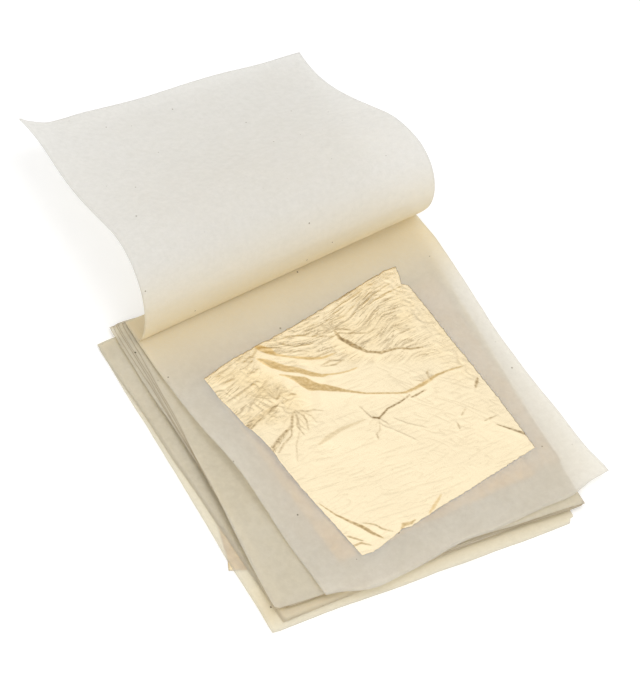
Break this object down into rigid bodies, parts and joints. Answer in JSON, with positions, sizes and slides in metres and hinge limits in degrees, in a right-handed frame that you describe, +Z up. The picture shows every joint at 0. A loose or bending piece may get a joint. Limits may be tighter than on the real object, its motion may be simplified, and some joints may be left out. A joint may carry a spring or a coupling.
{
  "type": "gold leaf booklet",
  "caption": "Loose tie of thin square tissue sheets with gold leaf between them, the top sheet turned back so that the first leaf lies open.",
  "frame": {"origin": "on the underside of the lowest gold leaf, which lies under the bottom tissue sheet, below the middle of the sheet that carries the open leaf", "axes": "+Z up through the stack, +Y towards the far edge over which the top sheet is turned back, +X to the right along that edge"},
  "size_m": [0.1365, 0.2025, 0.0306],
  "materials": {
    "tissue": "thin translucent tan tissue, matte",
    "turned_tissue": "thin translucent tissue, matte, one layer against the light",
    "gold_leaf": "beaten gold leaf, finely crinkled, satin metal"
  },
  "bodies": {
    "bottom_sheet": {"tissue_11": "tissue", "gold_leaf_10": "gold_leaf"},
    "sheet_10": {"tissue_10": "tissue", "gold_leaf_09": "gold_leaf"},
    "sheet_09": {"tissue_09": "tissue", "gold_leaf_08": "gold_leaf"},
    "sheet_08": {"tissue_08": "tissue"},
    "leaf_07": {"gold_leaf_07": "gold_leaf"},
    "sheet_07": {"tissue_07": "tissue", "gold_leaf_06": "gold_leaf"},
    "sheet_06": {"tissue_06": "tissue", "gold_leaf_05": "gold_leaf"},
    "sheet_05": {"tissue_05": "tissue", "gold_leaf_04": "gold_leaf"},
    "sheet_04": {"tissue_04": "tissue", "gold_leaf_03": "gold_leaf"},
    "sheet_03": {"tissue_03": "tissue"},
    "leaf_02": {"gold_leaf_02": "gold_leaf"},
    "sheet_02": {"tissue_02": "tissue"},
    "open_leaf": {"gold_leaf_01": "gold_leaf"},
    "turned_back_sheet": {"tissue_01_turned_back": "turned_tissue"}
  },
  "joints": [
    {"name": "sheet_10_lift", "type": "slide", "parent": "bottom_sheet", "child": "sheet_10", "axis": [0, 0, 1], "range_m": [0, 0.012]},
    {"name": "sheet_09_lift", "type": "slide", "parent": "sheet_10", "child": "sheet_09", "axis": [0, 0, 1], "range_m": [0, 0.012]},
    {"name": "sheet_08_lift", "type": "slide", "parent": "sheet_09", "child": "sheet_08", "axis": [0, 0, 1], "range_m": [0, 0.012]},
    {"name": "leaf_07_lift", "type": "slide", "parent": "sheet_08", "child": "leaf_07", "axis": [0, 0, 1], "range_m": [0, 0.012]},
    {"name": "middle_group_swivel", "type": "hinge", "parent": "leaf_07", "child": "sheet_07", "pos_m": [-0.005, 0.055, 0.0014], "axis": [0, 0, 1], "range_deg": [-8, 8]},
    {"name": "sheet_06_lift", "type": "slide", "parent": "sheet_07", "child": "sheet_06", "axis": [0, 0, 1], "range_m": [0, 0.012]},
    {"name": "sheet_05_lift", "type": "slide", "parent": "sheet_06", "child": "sheet_05", "axis": [0, 0, 1], "range_m": [0, 0.012]},
    {"name": "sheet_04_lift", "type": "slide", "parent": "sheet_05", "child": "sheet_04", "axis": [0, 0, 1], "range_m": [0, 0.012]},
    {"name": "sheet_03_lift", "type": "slide", "parent": "sheet_04", "child": "sheet_03", "axis": [0, 0, 1], "range_m": [0, 0.012]},
    {"name": "leaf_02_lift", "type": "slide", "parent": "sheet_03", "child": "leaf_02", "axis": [0, 0, 1], "range_m": [0, 0.012]},
    {"name": "open_sheet_swivel", "type": "hinge", "parent": "leaf_02", "child": "sheet_02", "pos_m": [0, 0.054, 0.003], "axis": [0, 0, 1], "range_deg": [-8, 8]},
    {"name": "open_leaf_lift", "type": "slide", "parent": "sheet_02", "child": "open_leaf", "axis": [0, 0, 1], "range_m": [0, 0.04]},
    {"name": "turned_back_sheet_tilt", "type": "hinge", "parent": "sheet_02", "child": "turned_back_sheet", "pos_m": [-0.058, 0.0501, 0.00315], "axis": [-0.9983, -0.0577, 0], "range_deg": [-50, 0]}
  ]
}
